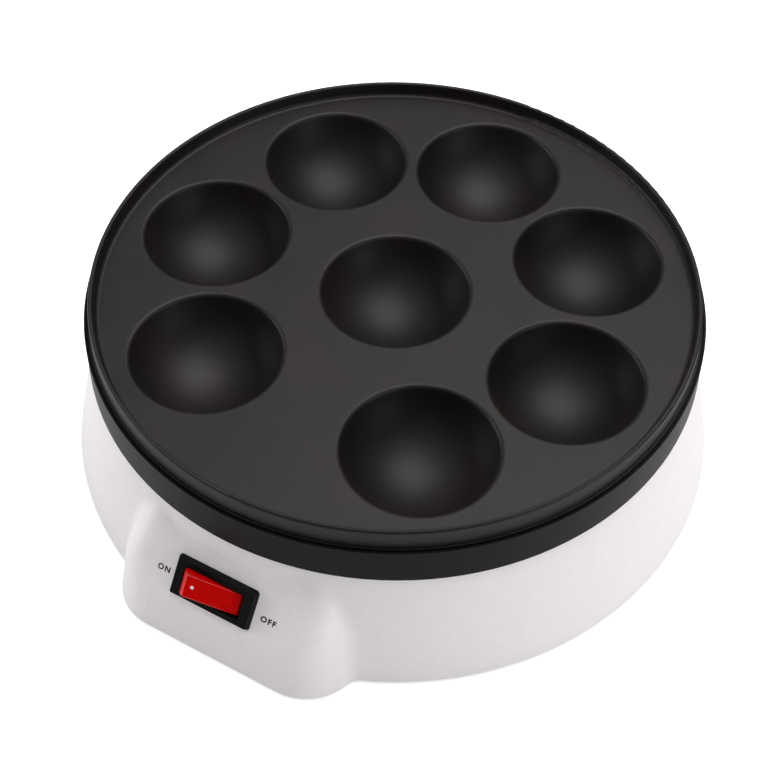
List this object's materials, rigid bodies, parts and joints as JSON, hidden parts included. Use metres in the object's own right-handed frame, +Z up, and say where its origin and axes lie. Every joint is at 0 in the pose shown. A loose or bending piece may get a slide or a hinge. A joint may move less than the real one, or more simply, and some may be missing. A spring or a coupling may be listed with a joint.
{
  "type": "aebleskiver maker",
  "caption": "Round electric ball-cake pan with hemispherical bowls in a dark plate, on a flared white base with a tilted rocker switch.",
  "frame": {"origin": "centre of the whole outline, on the surface that the feet stand on", "axes": "+Z up, -Y towards the rocker switch, +X to the right as seen from the switch"},
  "size_m": [0.2348, 0.242, 0.0716],
  "materials": {
    "white_plastic": "glossy white moulded polypropylene",
    "black_phenolic": "black heat-resistant moulding, soft satin",
    "nonstick_plate": "die-cast aluminium under a dark satin non-stick coating",
    "element_sheath": "heat-dulled stainless tube",
    "plated_steel": "zinc-plated steel",
    "bead_ceramic": "unglazed steatite",
    "reflector_sheet": "aluminised sheet, dull silver",
    "washer_fibre": "red-brown insulating fibre",
    "tab_brass": "bright stamped brass",
    "sleeve_fibre": "woven glass-fibre sleeve",
    "connector_nylon": "natural nylon",
    "cover_plastic": "white moulded plastic, fine spark texture",
    "foot_rubber": "soft dark rubber",
    "black_nylon": "black moulded nylon, fine texture",
    "red_rocker": "glossy translucent red polycarbonate",
    "lamp_glass": "clear lamp glass",
    "brown_insulation": "brown silicone wire insulation",
    "blue_insulation": "blue silicone wire insulation",
    "green_insulation": "green silicone wire insulation"
  },
  "bodies": {
    "base": {"base_shell": "white_plastic", "collar_ring": "black_phenolic", "cooking_plate": "nonstick_plate", "heating_element": "element_sheath", "element_pins": "plated_steel", "element_seals": "bead_ceramic", "element_clips": "plated_steel", "element_screws": "plated_steel", "heat_reflector": "reflector_sheet", "plate_posts": "plated_steel", "post_washers": "washer_fibre", "thermostat_cap": "reflector_sheet", "thermostat_body": "black_phenolic", "thermostat_tabs": "tab_brass", "thermostat_screws": "plated_steel", "thermal_fuse": "plated_steel", "fuse_sleeve": "sleeve_fibre", "fuse_clip": "plated_steel", "fuse_screw": "plated_steel", "earth_tag": "tab_brass", "earth_screw": "plated_steel", "tab_connectors": "connector_nylon", "terminal_block": "connector_nylon", "block_screws": "plated_steel", "bottom_cover": "cover_plastic", "cover_screws": "plated_steel", "rubber_feet": "foot_rubber", "cord_gland": "black_nylon", "gland_nut": "black_nylon", "switch_housing": "black_nylon", "switch_terminals": "tab_brass", "live_wire": "brown_insulation", "neutral_wire": "blue_insulation", "earth_wire": "green_insulation", "switched_wire": "brown_insulation", "lamp_wire": "blue_insulation", "fuse_feed": "sleeve_fibre", "fuse_return": "sleeve_fibre"},
    "rocker_key": {"rocker": "red_rocker", "switch_plunger": "connector_nylon", "switch_spring": "plated_steel", "neon_lamp": "lamp_glass"},
    "contact_bar": {"switch_contact": "tab_brass"}
  },
  "joints": [
    {"name": "rocker_press", "type": "hinge", "parent": "base", "child": "rocker_key", "pos_m": [-0.0017, -0.1121, 0.02903], "axis": [0, -0.5793, -0.8151], "range_deg": [0, 30]},
    {"name": "contact_tilt", "type": "hinge", "parent": "base", "child": "contact_bar", "pos_m": [-0.0017, -0.10428, 0.02347], "axis": [0, -0.5793, -0.8151], "range_deg": [-12, 0]}
  ],
  "couplings": [
    {"joint": "contact_tilt", "follows": "rocker_press", "ratio": -0.4}
  ]
}
